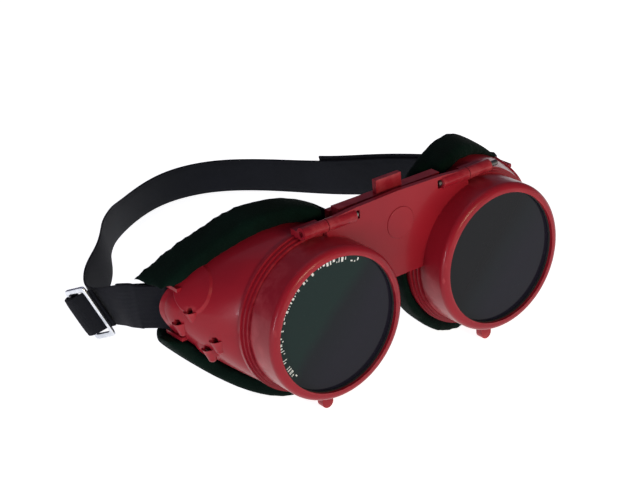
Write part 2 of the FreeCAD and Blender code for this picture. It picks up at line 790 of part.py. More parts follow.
def build():
    for side_name in SIDES:
        lens_stack("dark", side_name, "@dark_thick", "0")
        lens_stack("clear", side_name, "@clear_thick", "@collar_front + @lip_depth")
        hinge_pin(side_name)
        strap_bar(side_name)
    flip_front()
    cup = eyecup()
    both_sides("eyecup", cup)
    node("face_cushion_left", feature("face_cushion_left", face_cushion(cup, dim("cushion_droop"))))
    right = mirrored(face_cushion(cup, 0))
    node("face_cushion_right", feature("face_cushion_right", right))
    both_sides("vent_baffle", vent_baffle())
    node("nose_bridge", feature("nose_bridge", nose_bridge()))
    both_sides("nose_bridge_rivet", nose_bridge_rivet())
    node("head_strap", feature("head_strap", head_strap()))
    node("strap_threaded_end", feature("strap_threaded_end", threaded_end()))
    strap_buckle()


def check_and_write():
    doc.recompute()
    for thing in doc.Objects:
        if "Invalid" in thing.State or "Error" in thing.State:
            raise RuntimeError("%s did not compute: %s" % (thing.Label, thing.State))
    os.makedirs("parts", exist_ok=True)
    for thing in NODES:
        shape = thing.Shape
        if shape.isNull() or not shape.isValid():
            raise RuntimeError("%s has no valid shape" % thing.Label)
        print("%-28s solids %d volume %9.1f mm3" % (thing.Label, len(shape.Solids), shape.Volume))
        shape.exportStep("parts/%s.step" % thing.Label)


build()
check_and_write()
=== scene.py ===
"""Welding goggles with a flip-up dark front: looks, soft parts, camera and light."""
import math

import bmesh
import bpy
import numpy as np
from mathutils import Matrix, Vector


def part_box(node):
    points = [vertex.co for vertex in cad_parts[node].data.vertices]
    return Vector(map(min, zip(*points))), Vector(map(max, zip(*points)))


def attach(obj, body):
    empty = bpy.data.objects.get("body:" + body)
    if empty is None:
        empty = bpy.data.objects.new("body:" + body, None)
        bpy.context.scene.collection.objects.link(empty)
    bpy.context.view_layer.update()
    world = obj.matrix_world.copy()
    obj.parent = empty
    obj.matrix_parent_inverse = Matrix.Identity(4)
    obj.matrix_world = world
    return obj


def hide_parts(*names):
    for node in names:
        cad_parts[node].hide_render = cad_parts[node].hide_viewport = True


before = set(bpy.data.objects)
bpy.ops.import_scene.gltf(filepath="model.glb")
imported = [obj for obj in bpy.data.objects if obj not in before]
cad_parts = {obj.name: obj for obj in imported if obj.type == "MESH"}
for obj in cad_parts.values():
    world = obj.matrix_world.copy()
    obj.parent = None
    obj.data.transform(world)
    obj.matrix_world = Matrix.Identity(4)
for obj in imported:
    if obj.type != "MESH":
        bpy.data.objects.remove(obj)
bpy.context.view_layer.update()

MM = 0.001
LIP_DEPTH = 1.2 * MM                       # the lips' thickness in front of the lenses
LIPS_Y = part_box("flip_front")[0].y + LIP_DEPTH
FLOOR_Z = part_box("flip_front")[0].z        # the finger tongues are the lowest points
LENS_RIGHT = sum(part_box("dark_lens_right"), Vector()) / 2
LENS_LEFT = sum(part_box("dark_lens_left"), Vector()) / 2


def linked(name, data):
    """An object at the origin that shows the data given."""
    made = bpy.data.objects.new(name, data)
    bpy.context.scene.collection.objects.link(made)
    return made


def frame_points(rows):
    """Points in the frame, from x, depth behind the lips' inner faces and height in millimetres."""
    rows = np.asarray(rows, float)
    return rows[:, :3] * MM + np.array([0.0, LIPS_Y, 0.0])


# ---------------------------------------------------------------- shader building
NOISE_ROUGHNESS = 0.55


class Shader:
    """A material with one principled shader, and short calls that add nodes to it."""

    def __init__(self, name):
        self.material = bpy.data.materials.new(name)
        self.material.use_nodes = True
        self.tree = self.material.node_tree
        self.principled = self.tree.nodes["Principled BSDF"]
        self.coordinates = self.tree.nodes.new("ShaderNodeTexCoord")

    def set(self, **sockets):
        """Constants on the principled shader's sockets."""
        for name, value in sockets.items():
            self.principled.inputs[name.replace("_", " ")].default_value = value

    def feed(self, socket, value):
        """A link from another socket, or a constant."""
        if isinstance(value, bpy.types.NodeSocket):
            self.tree.links.new(value, socket)
        else:
            socket.default_value = value

    def node(self, kind, **inputs):
        """A node whose inputs are links or constants, with its sockets' spaces as underscores."""
        made = self.tree.nodes.new(kind)
        for name, value in inputs.items():
            self.feed(made.inputs[name.replace("_", " ")], value)
        return made

    def mapped(self, scale=(1, 1, 1), turn=(0, 0, 0), shift=(0, 0, 0)):
        """Object coordinates, scaled, turned and shifted."""
        mapping = self.node("ShaderNodeMapping", Vector=self.coordinates.outputs["Object"])
        mapping.inputs["Scale"].default_value = scale
        mapping.inputs["Rotation"].default_value = turn
        mapping.inputs["Location"].default_value = shift
        return mapping.outputs["Vector"]

    def noise(self, scale, detail, vector=None):
        return self.node("ShaderNodeTexNoise", Scale=scale, Detail=detail, Roughness=NOISE_ROUGHNESS,
                         Vector=vector or self.mapped()).outputs["Fac"]

    def ramp(self, value, *stops):
        """A colour ramp through (position, colour or grey) stops."""
        made = self.node("ShaderNodeValToRGB", Fac=value)
        elements = made.color_ramp.elements
        while len(elements) < len(stops):
            elements.new(0.5)
        for element, (position, colour) in zip(elements, stops):
            element.position = position
            grey = isinstance(colour, (int, float))
            element.color = (colour, colour, colour, 1) if grey else (*colour, 1)
        return made.outputs["Color"]

    def math(self, operation, first, second=0.0, third=0.0):
        made = self.tree.nodes.new("ShaderNodeMath")
        made.operation = operation
        for socket, value in zip(made.inputs, (first, second, third)):
            self.feed(socket, value)
        return made.outputs["Value"]

    def mix(self, share, base, top):
        """A share, from a socket, of the colour top laid over the base colour, also from a socket."""
        made = self.tree.nodes.new("ShaderNodeMix")
        made.data_type = "RGBA"
        for name, value in (("Factor", share), ("A", base), ("B", (*top, 1))):
            socket = [socket for socket in made.inputs if socket.name == name and socket.enabled][0]
            self.feed(socket, value)
        return [socket for socket in made.outputs if socket.enabled][0]

    def colour(self, source):
        self.feed(self.principled.inputs["Base Color"], source)

    def roughness(self, value, low, high):
        """Roughness that follows a value from low to high."""
        made = self.node("ShaderNodeMapRange", Value=value)
        made.inputs["To Min"].default_value = low
        made.inputs["To Max"].default_value = high
        self.feed(self.principled.inputs["Roughness"], made.outputs["Result"])

    def bump(self, *layers):
        """Layers of (height, strength, distance in metres), one over the other."""
        normal = None
        for height, strength, distance in layers:
            made = self.node("ShaderNodeBump", Height=height, Strength=strength, Distance=distance)
            if normal is not None:
                self.feed(made.inputs["Normal"], normal)
            normal = made.outputs["Normal"]
        self.feed(self.principled.inputs["Normal"], normal)


# ---------------------------------------------------------------- materials of the hard parts
PAINTED_REFLECTION_FADE = 40 * MM                       # the length over which the dark glass's painted reflection changes


def red_plastic():
    """Moulded semi-gloss red: flow in the colour, orange peel, rubbed edges, dust and scratches."""
    shader = Shader("red_plastic")
    flow = shader.noise(28, 3)
    base = shader.ramp(flow, (0.3, (0.210, 0.0075, 0.0170)), (0.7, (0.270, 0.0095, 0.0190)))
    worn = shader.ramp(shader.node("ShaderNodeNewGeometry").outputs["Pointiness"],
                       (0.53, 0.0), (0.60, 1.0))
    patches = shader.ramp(shader.noise(160, 5), (0.45, 0.0), (0.7, 1.0))
    wear = shader.math("MULTIPLY", worn, patches)
    base = shader.mix(shader.math("MULTIPLY", wear, 0.45), base, (0.50, 0.09, 0.10))
    dust = shader.ramp(shader.noise(2600, 2), (0.70, 0.0), (0.78, 1.0))
    base = shader.mix(shader.math("MULTIPLY", dust, 0.12), base, (0.45, 0.26, 0.27))
    shader.colour(base)
    shader.roughness(shader.noise(75, 5), 0.24, 0.40)
    streaks = shader.noise(900, 2, shader.mapped(scale=(1, 0.08, 1), turn=(0.3, 0.2, 0.5)))
    scratches = shader.ramp(streaks, (0.66, 0.0), (0.74, 1.0))
    shader.bump((shader.noise(420, 3), 0.10, 0.00025), (scratches, 0.04, 0.0001))
    shader.set(Coat_Weight=0.10, Coat_Roughness=0.06, IOR=1.49, Specular_IOR_Level=0.15)
    return shader.material


def dark_glass(name, centre, painted_reflection):
    """Polished welding glass, nearly black: navy, with a painted blue-green reflection up and towards -X.

    The painted reflection grows with height less x, measured from the lens's centre over
    PAINTED_REFLECTION_FADE;
    painted_reflection, from 0 to 1, is its strength, and at 0 the glass only turns darker up and towards
    -X.
    """
    shader = Shader(name)
    place = shader.node("ShaderNodeSeparateXYZ", Vector=shader.mapped(shift=-centre))
    slant = shader.math("SUBTRACT", place.outputs["Z"], place.outputs["X"])
    slant = shader.math("MULTIPLY_ADD", shader.noise(45, 2), 0.010, slant)
    share = shader.math("MULTIPLY_ADD", slant, 1 / PAINTED_REFLECTION_FADE, 0.5)
    # painted reflection: the colour turns blue-green up and towards -X by the reflection's strength, and
    # only darker there where that strength is 0
    base = shader.ramp(share, (0.30, (0.0085, 0.0090, 0.0165)), (0.62, (0.0060, 0.0085, 0.0125)),
                       (0.80, (0.0045, 0.0055 + 0.0105 * painted_reflection, 0.0080 + 0.0075 * painted_reflection)))
    haze = shader.ramp(shader.noise(900, 4), (0.62, 0.0), (0.8, 1.0))
    shader.colour(shader.mix(shader.math("MULTIPLY", haze, 0.04), base, (0.2, 0.22, 0.24)))
    shader.roughness(shader.noise(60, 4), 0.04, 0.11)
    shader.bump((shader.noise(40, 2), 0.02, 0.0004))
    shader.set(IOR=1.45, Specular_IOR_Level=0.16)
    return shader.material


def clear_glass():
    """Clear safety glass as a thin see-through pane, faintly green, with a few wipe marks."""
    shader = Shader("clear_glass")
    body = shader.noise(60, 2)
    shader.colour(shader.ramp(body, (0.3, (0.30, 0.36, 0.34)), (0.7, (0.38, 0.43, 0.41))))
    shader.roughness(shader.noise(240, 3), 0.01, 0.05)
    shader.bump((shader.noise(30, 2), 0.01, 0.0003))
    shader.set(IOR=1.45, Alpha=0.13)
    return shader.material


def steel(name, tone, rough_low, rough_high, run=(1, 1, 0.05)):
    """Steel with fine drawing marks along one direction, soft stains and small dents."""
    shader = Shader(name)
    marks = shader.noise(1800, 2, shader.mapped(scale=run))
    stain = shader.noise(220, 4)
    dark = tuple(c * 0.72 for c in tone)
    base = shader.ramp(stain, (0.35, dark), (0.62, tone))
    shader.colour(shader.mix(shader.math("MULTIPLY", marks, 0.25), base, tuple(c * 0.5 for c in tone)))
    shader.roughness(marks, rough_low, rough_high)
    shader.bump((marks, 0.12, 0.0001), (stain, 0.08, 0.0003))
    shader.set(Metallic=1.0)
    return shader.material


def black_rubber():
    """Matt black rubber with a fine grain."""
    shader = Shader("black_rubber")
    grain = shader.noise(1500, 3)
    shader.colour(shader.ramp(grain, (0.3, (0.012, 0.012, 0.012)), (0.7, (0.028, 0.028, 0.027))))
    shader.roughness(grain, 0.6, 0.85)
    shader.bump((grain, 0.2, 0.0001))
    return shader.material


def black_plastic():
    """Black plastic with a coarser, shinier grain than the rubber's."""
    shader = Shader("black_plastic")
    grain = shader.noise(900, 4)
    shader.colour(shader.ramp(grain, (0.3, (0.02, 0.02, 0.022)), (0.7, (0.035, 0.035, 0.037))))
    shader.roughness(grain, 0.4, 0.65)
    shader.bump((grain, 0.25, 0.00015))
    return shader.material


def give(material, *nodes):
    """One material on each of the solids named."""
    for name in nodes:
        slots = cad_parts[name].data.materials
        slots.clear()
        slots.append(material)


def both(stem):
    """The names of a piece's right and left node."""
    return [stem + "_right", stem + "_left"]


def finish_hard_parts():
    """Every hard part's finish, except the buckle's."""
    give(red_plastic(), "flip_front", "nose_bridge", *both("eyecup"))
    give(dark_glass("dark_glass_right", LENS_RIGHT, 1.0), "dark_lens_right")
    give(dark_glass("dark_glass_left", LENS_LEFT, 0.0), "dark_lens_left")
    give(clear_glass(), *both("clear_lens"))
    give(black_rubber(), *both("dark_lens_gasket"), *both("clear_lens_gasket"))
    give(steel("spring_steel", (0.42, 0.42, 0.44), 0.25, 0.45),
         *both("dark_lens_retainer"), *both("clear_lens_retainer"))
    give(steel("pin_steel", (0.20, 0.19, 0.19), 0.3, 0.5, (0.05, 1, 1)),
         *both("hinge_pin"), *both("strap_bar"), *both("nose_bridge_rivet"))
    give(black_plastic(), *both("vent_baffle"))


# ---------------------------------------------------------------- surfaces on a grid
def tube_faces(stations, steps, first=0):
    """Faces of a tube of points[station, step], counted from first, with a cap at each end.

    Quad (i, j) joins stations i and i + 1 between steps j and j + 1, counted round.
    """
    index = first + np.arange(stations * steps).reshape(stations, steps)
    after = np.roll(index, -1, axis=1)
    quads = np.stack([index[:-1], after[:-1], after[1:], index[1:]], axis=-1).reshape(-1, 4)
    return quads.tolist() + [index[0, ::-1].tolist(), index[-1].tolist()]


def marked_tube(name, points, marks):
    """A tube of points[station, step]; marks gives the same grid's UV values."""
    mesh = bpy.data.meshes.new(name)
    mesh.from_pydata(points.reshape(-1, 3), [], tube_faces(*points.shape[:2]))
    layer = mesh.uv_layers.new(name="run")
    corners = np.empty(len(mesh.loops), int)
    mesh.loops.foreach_get("vertex_index", corners)
    layer.data.foreach_set("uv", marks.reshape(-1, 2)[corners].ravel())
    return finished(name, mesh)


def ring_grid(name, points):
    """A ring-shaped mesh from points[station, step], whose quads close along both directions."""
    stations, steps = points.shape[:2]
    index = np.arange(stations * steps).reshape(stations, steps)
    after = np.roll(index, -1, axis=1)
    quads = np.stack([index, after, np.roll(after, -1, axis=0), np.roll(index, -1, axis=0)], axis=-1)
    mesh = bpy.data.meshes.new(name)
    mesh.from_pydata(points.reshape(-1, 3), [], quads.reshape(-1, 4).tolist())
    return finished(name, mesh)


def finished(name, mesh):
    """Smooth faces that point outwards, on an object at the origin."""
    work = bmesh.new()
    work.from_mesh(mesh)
    bmesh.ops.recalc_face_normals(work, faces=work.faces)
    work.to_mesh(mesh)
    work.free()
    mesh.polygons.foreach_set("use_smooth", [True] * len(mesh.polygons))
    return linked(name, mesh)


def natural_curve(rows, per_span):
    """The natural cubic curve through the rows, each column against the distance between points.

    With second derivatives m, m[i-1] h[i-1] + 2 m[i] (h[i-1] + h[i]) + m[i+1] h[i] equals six times
    the change of slope at point i, and m is zero at both ends.
    """
    rows = np.asarray(rows, float)
    gap = np.linalg.norm(np.diff(rows[:, :3], axis=0), axis=1)
    slope = np.diff(rows, axis=0) / gap[:, None]
    count = len(rows)
    system = np.eye(count)
    inner = np.arange(1, count - 1)
    system[inner, inner] = 2 * (gap[:-1] + gap[1:])
    system[inner, inner - 1] = gap[:-1]
    system[inner, inner + 1] = gap[1:]
    right = np.zeros_like(rows)
    right[1:-1] = 6 * np.diff(slope, axis=0)
    bend = np.linalg.solve(system, right)
    share = np.append(np.tile(np.arange(per_span) / per_span, count - 1), 1.0)
    span = np.append(np.repeat(np.arange(count - 1), per_span), count - 2)
    width = gap[span]
    ahead = (share * width)[:, None]
    behind = ((1 - share) * width)[:, None]
    width = width[:, None]
    return (bend[span] * behind ** 3 / (6 * width) + bend[span + 1] * ahead ** 3 / (6 * width)
            + (rows[span] / width - bend[span] * width / 6) * behind
            + (rows[span + 1] / width - bend[span + 1] * width / 6) * ahead)


def unit(vectors):
    """The vectors, each divided by its length."""
    return vectors / np.linalg.norm(vectors, axis=-1, keepdims=True)


# ---------------------------------------------------------------- the strap
STRAP_WIDE = 15.5 * MM
STRAP_THICK = 1.2 * MM
STRAP_GAP = 0.12 * MM                      # between two layers
STRAP_SIDES = 44                           # points round the webbing
STRAP_ROUTE = [                            # x, depth, height; lean of the upper edge along x and y
    (-78.4, 49.6, 3.6, 0, 0), (-79.4, 57, 1.5, -0.1, 0.08), (-79.0, 66, -2, -0.3, 0.2),
    (-78.8, 76, -5, -0.37, 0.27), (-74.6, 87, -6.5, -0.38, 0.2), (-67.5, 98, -7.5, -0.36, 0.1),
    (-57, 111, -8.8, -0.3, 0), (-47, 126, -11, -0.2, -0.05), (-38, 141, -14.5, -0.12, -0.08),
    (-28, 155, -18, -0.06, -0.12), (-14, 172, -23.5, 0.0, -0.16), (2, 185, -26.2, 0.0, -0.18),
    (20, 191.5, -26.7, 0, -0.18), (38, 188.5, -26.7, -0.05, -0.17), (53, 177, -26.6, -0.1, -0.13),
    (64, 160, -25.6, -0.12, -0.08), (71, 140, -22.5, -0.1, -0.04), (75.5, 118, -17, -0.06, 0),
    (78, 96, -11.5, -0.03, 0), (79, 74, -5.5, 0, 0), (78.3, 59, 0.5, 0, 0), (77.4, 50.5, 3.4, 0, 0),
]
STRAP_SPAN = 3                             # stations from each point of the route to the next
HEM_STATIONS = 4                           # stations of the run that the hem lies along
TAIL_END_Y = LIPS_Y + 150.0 * MM
TAIL_RISE = 1.5 * MM                       # how much higher the free end lies than the strap
TAIL_RISE_FROM = 44.0 * MM                 # the rise starts at this depth
TAIL_RISE_OVER = 40.0 * MM                 # and is complete this much farther back
LOOP_STATIONS = 11                         # points of each loop round a strap bar
LOOP_START = 135                           # degrees
LOOP_STEP = 20                             # degrees from one point to the next
BAR_GAP = 0.1 * MM                         # between a strap bar and the webbing


def power(values, exponent):
    """The values' sizes raised to an exponent, with their signs kept."""
    return np.sign(values) * np.abs(values) ** exponent


def ribbon(name, points, ups):
    """Webbing along a path: at each station a flat oval with square shoulders, across the run.

    Across is half the width times the signed 0.7th power of the cosine, and out is half the
    thickness times the signed 0.36th power of the sine, less a thin bell-shaped hollow beside each
    selvedge.
    """
    along = unit(np.gradient(points, axis=0))
    ups = unit(ups - along * np.sum(along * ups, axis=1, keepdims=True))
    out = np.cross(ups, along)
    angle = np.linspace(0, 2 * np.pi, STRAP_SIDES, endpoint=False)
    across = power(np.cos(angle), 0.7)
    hollow_deep, hollow_at, hollow_wide = 0.16, 0.86, 0.045
    hollow = hollow_deep * np.exp(-((np.abs(across) - hollow_at) / hollow_wide) ** 2)
    lift = power(np.sin(angle), 0.36) * (1 - hollow)
    half_wide = across * STRAP_WIDE / 2
    grid = (points[:, None] + ups[:, None] * half_wide[None, :, None]
            + out[:, None] * (lift * STRAP_THICK / 2)[None, :, None])
    run = np.concatenate([[0], np.cumsum(np.linalg.norm(np.diff(points, axis=0), axis=1))])
    marks = np.stack(np.broadcast_arrays(run[:, None], half_wide[None]), axis=-1)
    return marked_tube(name, grid, marks)


def turn_about_bar(side):
    """A loop of points 200 degrees round a strap bar: (cos, sin) of the angle times the reach.

    The side is 1 at the left bar, and -1 at the right bar, which mirrors the loop.
    """
    low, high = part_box("strap_bar_left" if side > 0 else "strap_bar_right")
    centre = (low + high) / 2
    reach = (high.x - low.x) / 2 + STRAP_THICK / 2 + BAR_GAP
    angle = np.radians(LOOP_START + LOOP_STEP * np.arange(LOOP_STATIONS))
    return np.stack([centre.x + side * np.cos(angle) * reach, centre.y + np.sin(angle) * reach,
                     np.full(LOOP_STATIONS, centre.z)], axis=1)


def head_strap():
    """The whole strap: hem, loop at the right bar, round the head, loop at the left bar, tail.

    The hem and the tail are the route itself, moved by one layer inwards and outwards.
    """
    rows = np.asarray(STRAP_ROUTE, float)
    leans = np.column_stack([rows[:, 3:], np.ones(len(rows))])
    run = natural_curve(np.column_stack([frame_points(rows), leans]), STRAP_SPAN)
    points = run[:, :3]
    ups = run[:, 3:]
    along = unit(np.gradient(points, axis=0))
    inward = unit(np.cross(along, ups))
    layer = STRAP_THICK + STRAP_GAP
    hem = np.column_stack([points + inward * layer, ups])[HEM_STATIONS:0:-1]
    kept = (points[:, 0] > 0) & (points[:, 1] < TAIL_END_Y)
    rise = np.clip((points[:, 1] - LIPS_Y - TAIL_RISE_FROM) / TAIL_RISE_OVER, 0, 1) * TAIL_RISE
    tail = points - inward * layer + np.array([0, 0, 1.0]) * rise[:, None]
    tail = np.column_stack([tail, ups])[kept][::-1]
    upright = np.tile([0.0, 0.0, 1.0], (LOOP_STATIONS, 1))
    loops = [np.column_stack([turn_about_bar(side), upright]) for side in (-1, 1)]
    path = natural_curve(np.concatenate([hem, loops[0], run, loops[1], tail]), STRAP_SPAN)
    strap = ribbon("strap_webbing", path[:, :3], path[:, 3:])
    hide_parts("head_strap")
    return strap, tail


# ---------------------------------------------------------------- the buckle
BUCKLE_UP = (-0.35, 0.26, 0.9)
BUCKLE_BACK = (-0.31, 0.87, -0.37)
BUCKLE_BAR_AT = 4.1                        # mm from the buckle's middle to the middle of each long bar
BUCKLE_REACH = 1.68                        # mm from the buckle's plane to the middle of the webbing
BUCKLE_WINDOW = (3.45, 8.5)                # mm, half sizes across and along the long bars
BUCKLE_OUTLINE = (4.8, 10.5)
BUCKLE_HALF_THICK = 0.65 * MM


def buckle_frame():
    """The buckle's middle, and unit vectors along its bars, rearwards, and out of its plane."""
    up = unit(np.asarray(BUCKLE_UP))
    back = np.asarray(BUCKLE_BACK)
    back = unit(back - up * np.dot(back, up))
    return np.asarray(sum(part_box("strap_buckle"), Vector()) / 2), up, back, -np.cross(back, up)


def threaded_end():
    """The strap's end: under the buckle's front bar, over its rear bar and tucked in behind."""
    centre, up, back, out = buckle_frame()
    bar = BUCKLE_BAR_AT
    reach = BUCKLE_REACH
    beside = 1.2                           # how far before and behind a bar the path is nearly level
    slope = 0.05                           # and how much it rises there
    past = 0.1                             # how far behind the rear bar's middle the turn starts
    corner = (1.3, 1.35)                   # the turn's points between its ends and its farthest point
    tucked = 2.0                           # how far before the rear bar the end stops
    line = np.asarray([(-bar - beside, -reach - slope), (-bar, -reach), (-bar + beside, -reach + slope),
                       (0, 0), (bar - beside, reach - slope), (bar + past, reach),
                       (bar + corner[0], corner[1]), (bar + reach, 0), (bar + corner[0], -corner[1]),
                       (bar + past, -reach), (bar - tucked, -reach - slope)]) * MM
    points = centre + line[:, :1] * back + line[:, 1:] * out
    path = natural_curve(points, 5)
    end = ribbon("strap_threaded_webbing", path, np.tile(up, (len(path), 1)))
    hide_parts("strap_threaded_end")
    return end


def buckle():
    """A stamped slide: between a window and an outline that are both rounded rectangles.

    Both are (a c, b s), with c and s the signed 0.16th powers of cosine and sine of the angle
    around, whose steps are smallest at the middle of each side.  Across the metal, signed 0.55th
    powers give the share of the way from window to outline and the height over the buckle's plane.
    """
    centre, up, back, out = buckle_frame()
    around = np.linspace(0, 2 * np.pi, 160, endpoint=False)
    around = around - 0.22 * np.sin(4 * around)
    rectangle = power(np.stack([np.cos(around), np.sin(around)], axis=1), 0.16)
    turn = np.linspace(0, 2 * np.pi, 20, endpoint=False)
    share = 0.5 + 0.5 * power(np.cos(turn), 0.55)
    lift = power(np.sin(turn), 0.55) * BUCKLE_HALF_THICK
    window = rectangle * BUCKLE_WINDOW * MM
    outline = rectangle * BUCKLE_OUTLINE * MM
    flat = window[:, None] * (1 - share)[None, :, None] + outline[:, None] * share[None, :, None]
    grid = centre + flat[..., :1] * back + flat[..., 1:] * up + lift[None, :, None] * out
    slide = ring_grid("slide_buckle", grid)
    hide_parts("strap_buckle")
    return slide


# ---------------------------------------------------------------- sewing on the tail
STITCH_ROWS = (-1.6 * MM, -3.6 * MM)       # from the tail's end
STITCH_COUNT = 10                          # in a row
STITCH_PITCH = 1.35 * MM
STITCH_HALF = (0.36 * STITCH_PITCH, 0.16 * MM, 0.14 * MM)    # half length, width and height
STITCH_SWELL = np.array([0.35, 0.9, 1.0, 0.9, 0.35])         # the thread's size along a stitch


def stitch(middle, along, across, normal):
    """A short thread that lies along the direction across: ellipses, smaller towards both ends."""
    half_long, half_wide, half_high = STITCH_HALF
    turn = np.linspace(0, 2 * np.pi, 8, endpoint=False)
    ring = np.stack([np.cos(turn) * half_wide, np.sin(turn) * half_high], axis=1)
    rings = ring[None] * STITCH_SWELL[:, None, None]
    places = np.linspace(-1, 1, len(STITCH_SWELL)) * half_long
    return (middle + across * places[:, None, None] + along * rings[..., :1]
            + normal * rings[..., 1:])


def tail_stitches(tail):
    """Two sewn rows across the free end of the tail, on its outer face."""
    point = tail[-1, :3]
    up = tail[-1, 3:]
    along = unit(tail[-1, :3] - tail[-2, :3])
    up = unit(up - along * np.dot(along, up))
    normal = np.cross(along, up)
    if normal[0] < 0:
        normal = -normal
    start = point + normal * (STRAP_THICK / 2)
    faces = []
    points = []
    for row in STITCH_ROWS:
        for number in range(STITCH_COUNT):
            middle = start + along * row + up * (number - (STITCH_COUNT - 1) / 2) * STITCH_PITCH
            grid = stitch(middle, along, up, normal)
            faces += tube_faces(*grid.shape[:2], first=len(points) * grid[..., 0].size)
            points.append(grid.reshape(-1, 3))
    mesh = bpy.data.meshes.new("tail_stitches")
    mesh.from_pydata(np.concatenate(points), [], faces)
    return finished("tail_stitches", mesh)


# ---------------------------------------------------------------- the cushions
VOXEL = 1.3 * MM
SMOOTH_BEFORE = 13                         # rounds of smoothing before the swelling
SMOOTH_AFTER = 4
SWELL_STEPS = 20
SWELL_CAP = 1.6 * MM                       # how far a point may move
MERGE_WITHIN = 0.01 * MM


def place_array(mesh):
    """The places of a mesh's points, one row each."""
    flat = np.empty(len(mesh.vertices) * 3)
    mesh.vertices.foreach_get("co", flat)
    return flat.reshape(-1, 3)


def applied(made):
    """Gives the object the mesh that its modifiers make, and removes them."""
    graph = bpy.context.evaluated_depsgraph_get()
    mesh = bpy.data.meshes.new_from_object(made.evaluated_get(graph))
    made.modifiers.clear()
    made.data = mesh


def change(made, kind, **settings):
    """Adds a modifier and applies it."""
    modifier = made.modifiers.new(kind.lower(), kind)
    for name, value in settings.items():
        setattr(modifier, name, value)
    applied(made)


def swell(made):
    """Cloth under pressure from inside, with no gravity, and each point's movement capped."""
    start = place_array(made.data)
    modifier = made.modifiers.new("cloth", "CLOTH")
    settings = modifier.settings
    settings.use_pressure = True
    settings.uniform_pressure_force = 4.0
    settings.effector_weights.gravity = 0
    settings.quality = 4
    settings.mass = 0.2
    settings.tension_stiffness = 12
    settings.compression_stiffness = 12
    settings.bending_stiffness = 0.4
    modifier.collision_settings.use_collision = False
    for number in range(1, SWELL_STEPS + 1):
        bpy.context.scene.frame_set(number)
    applied(made)
    bpy.context.scene.frame_set(1)
    moved = place_array(made.data) - start
    size = np.linalg.norm(moved, axis=1, keepdims=True)
    moved *= np.minimum(1, SWELL_CAP / np.maximum(size, 1e-9))
    made.data.vertices.foreach_set("co", (start + moved).ravel())


def cushion(side):
    """The padding: the plain ring remeshed, its edges eased, then swollen under pressure."""
    name = "padding_" + side
    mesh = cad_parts["face_cushion_" + side].data.copy()
    work = bmesh.new()
    work.from_mesh(mesh)
    bmesh.ops.remove_doubles(work, verts=work.verts, dist=MERGE_WITHIN)
    work.to_mesh(mesh)
    work.free()
    mesh.name = name
    made = linked(name, mesh)
    change(made, "REMESH", mode="VOXEL", voxel_size=VOXEL)
    change(made, "SMOOTH", factor=0.5, iterations=SMOOTH_BEFORE)
    swell(made)
    change(made, "SMOOTH", factor=0.5, iterations=SMOOTH_AFTER)
    change(made, "SUBSURF", levels=1, render_levels=1)
    made.data.polygons.foreach_set("use_smooth", [True] * len(made.data.polygons))
    return made


def cushions():
    """Both paddings, in one cover."""
    cover = cushion_cover()
    for side in ("right", "left"):
        made = cushion(side)
        made.data.materials.clear()
        made.data.materials.append(cover)
        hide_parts("face_cushion_" + side)
        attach(made, "cups")


# ---------------------------------------------------------------- marks on the right dark lens
MARKS_FROM = 218.0                         # degrees, counted from +X towards +Z
MARKS_TO = 62.0
MARK_WIDTHS = [0.9, 1.3, 2.2]              # degrees
MARK_RADII = [(20.9, 22.5), (20.9, 22.5), (21.5, 22.5), (20.9, 21.4)]
MARK_GAPS = [1.5, 1.5, 1.9, 5.5]           # degrees
MARK_GAP_CHANCES = [0.4, 0.25, 0.2, 0.15]
MARK_FACES = (0.05 * MM, 0.005 * MM)       # how far a mark's front and back stand before the glass
MARK_ARC = 5                               # points along each of a mark's two arcs


def lens_marks():
    """Plain white ticks along the lens's edge: thin plates between two radii, from angle to angle."""
    centre = LENS_RIGHT
    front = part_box("dark_lens_right")[0].y
    random = np.random.default_rng(5)
    corners = 2 * MARK_ARC
    faces = []
    points = []
    angle = MARKS_FROM
    while angle > MARKS_TO:
        wide = random.choice(MARK_WIDTHS)
        inner, outer = random.choice(MARK_RADII)
        turn = np.radians(np.linspace(angle, angle - wide, MARK_ARC))
        arc = np.stack([np.cos(turn), np.sin(turn)], axis=1)
        ring = np.concatenate([arc * outer, arc[::-1] * inner])
        near = np.arange(corners) + corners * len(points)
        far = near + corners
        for before in MARK_FACES:
            points.append(np.column_stack([centre.x + ring[:, 0] * MM, np.full(corners, front - before),
                                           centre.z + ring[:, 1] * MM]))
        faces += [near.tolist(), far[::-1].tolist()]
        faces += np.stack([near, far, np.roll(far, -1), np.roll(near, -1)], axis=1).tolist()
        angle -= wide + random.choice(MARK_GAPS, p=MARK_GAP_CHANCES)
    mesh = bpy.data.meshes.new("lens_marks")
    mesh.from_pydata(np.concatenate(points), [], faces)
    made = finished("lens_marks", mesh)
    mesh.polygons.foreach_set("use_smooth", [False] * len(mesh.polygons))
    mesh.materials.append(white_print())
    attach(made, "front")


def soft_parts():
    """The strap with its sewing and buckle, the paddings, and the marks on the lens."""
    cloth = webbing()
    strap, tail = head_strap()
    end = threaded_end()
    slide = buckle()
    sewn = tail_stitches(tail)
    for made, material, slot in ((strap, cloth, "webbing"), (end, cloth, "webbing"),
                                 (sewn, thread(), "webbing"),
                                 (slide, bright_steel(), "buckle_steel")):
        made.data.materials.append(material)
        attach(made, "cups")
    cushions()
    lens_marks()


# ---------------------------------------------------------------- materials of the soft parts
RIB_PITCH = 0.95 * MM
WEFT_PITCH = 0.62 * MM


